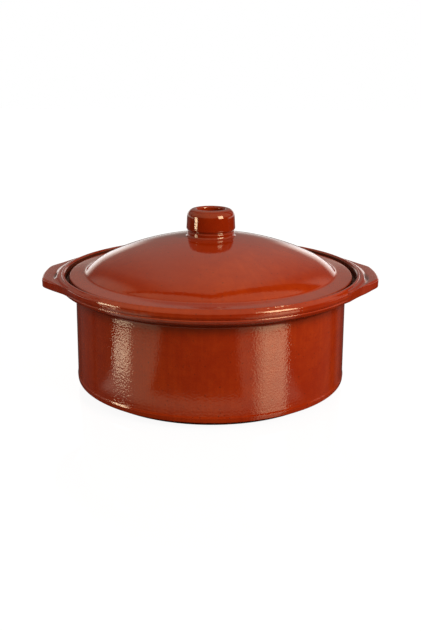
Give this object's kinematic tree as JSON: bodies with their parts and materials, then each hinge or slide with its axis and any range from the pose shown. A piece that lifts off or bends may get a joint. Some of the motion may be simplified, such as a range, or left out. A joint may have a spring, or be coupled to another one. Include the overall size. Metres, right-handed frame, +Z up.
{
  "type": "lidded casserole pot",
  "caption": "Round glazed earthenware casserole with two flat lugs on its rim and a domed lid with a hollow knob that drops into a stepped seat.",
  "frame": {"origin": "centre of the flat base, where the pot's axis meets the surface it stands on", "axes": "+Z up along the pot's axis, +X through the right handle, +Y towards the back"},
  "size_m": [0.335, 0.3, 0.1751],
  "materials": {
    "pot_glaze": "clear gloss glaze over red earthenware, bare clay under the foot",
    "lid_glaze": "clear gloss glaze over red earthenware"
  },
  "bodies": {
    "pot": {"pot_body": "pot_glaze", "left_handle": "pot_glaze", "right_handle": "pot_glaze"},
    "lid": {"lid": "lid_glaze", "lid_knob": "lid_glaze"}
  },
  "joints": [
    {"name": "lid_lift", "type": "slide", "parent": "pot", "child": "lid", "axis": [0, 0, 1], "range_m": [0, 0.12]}
  ]
}
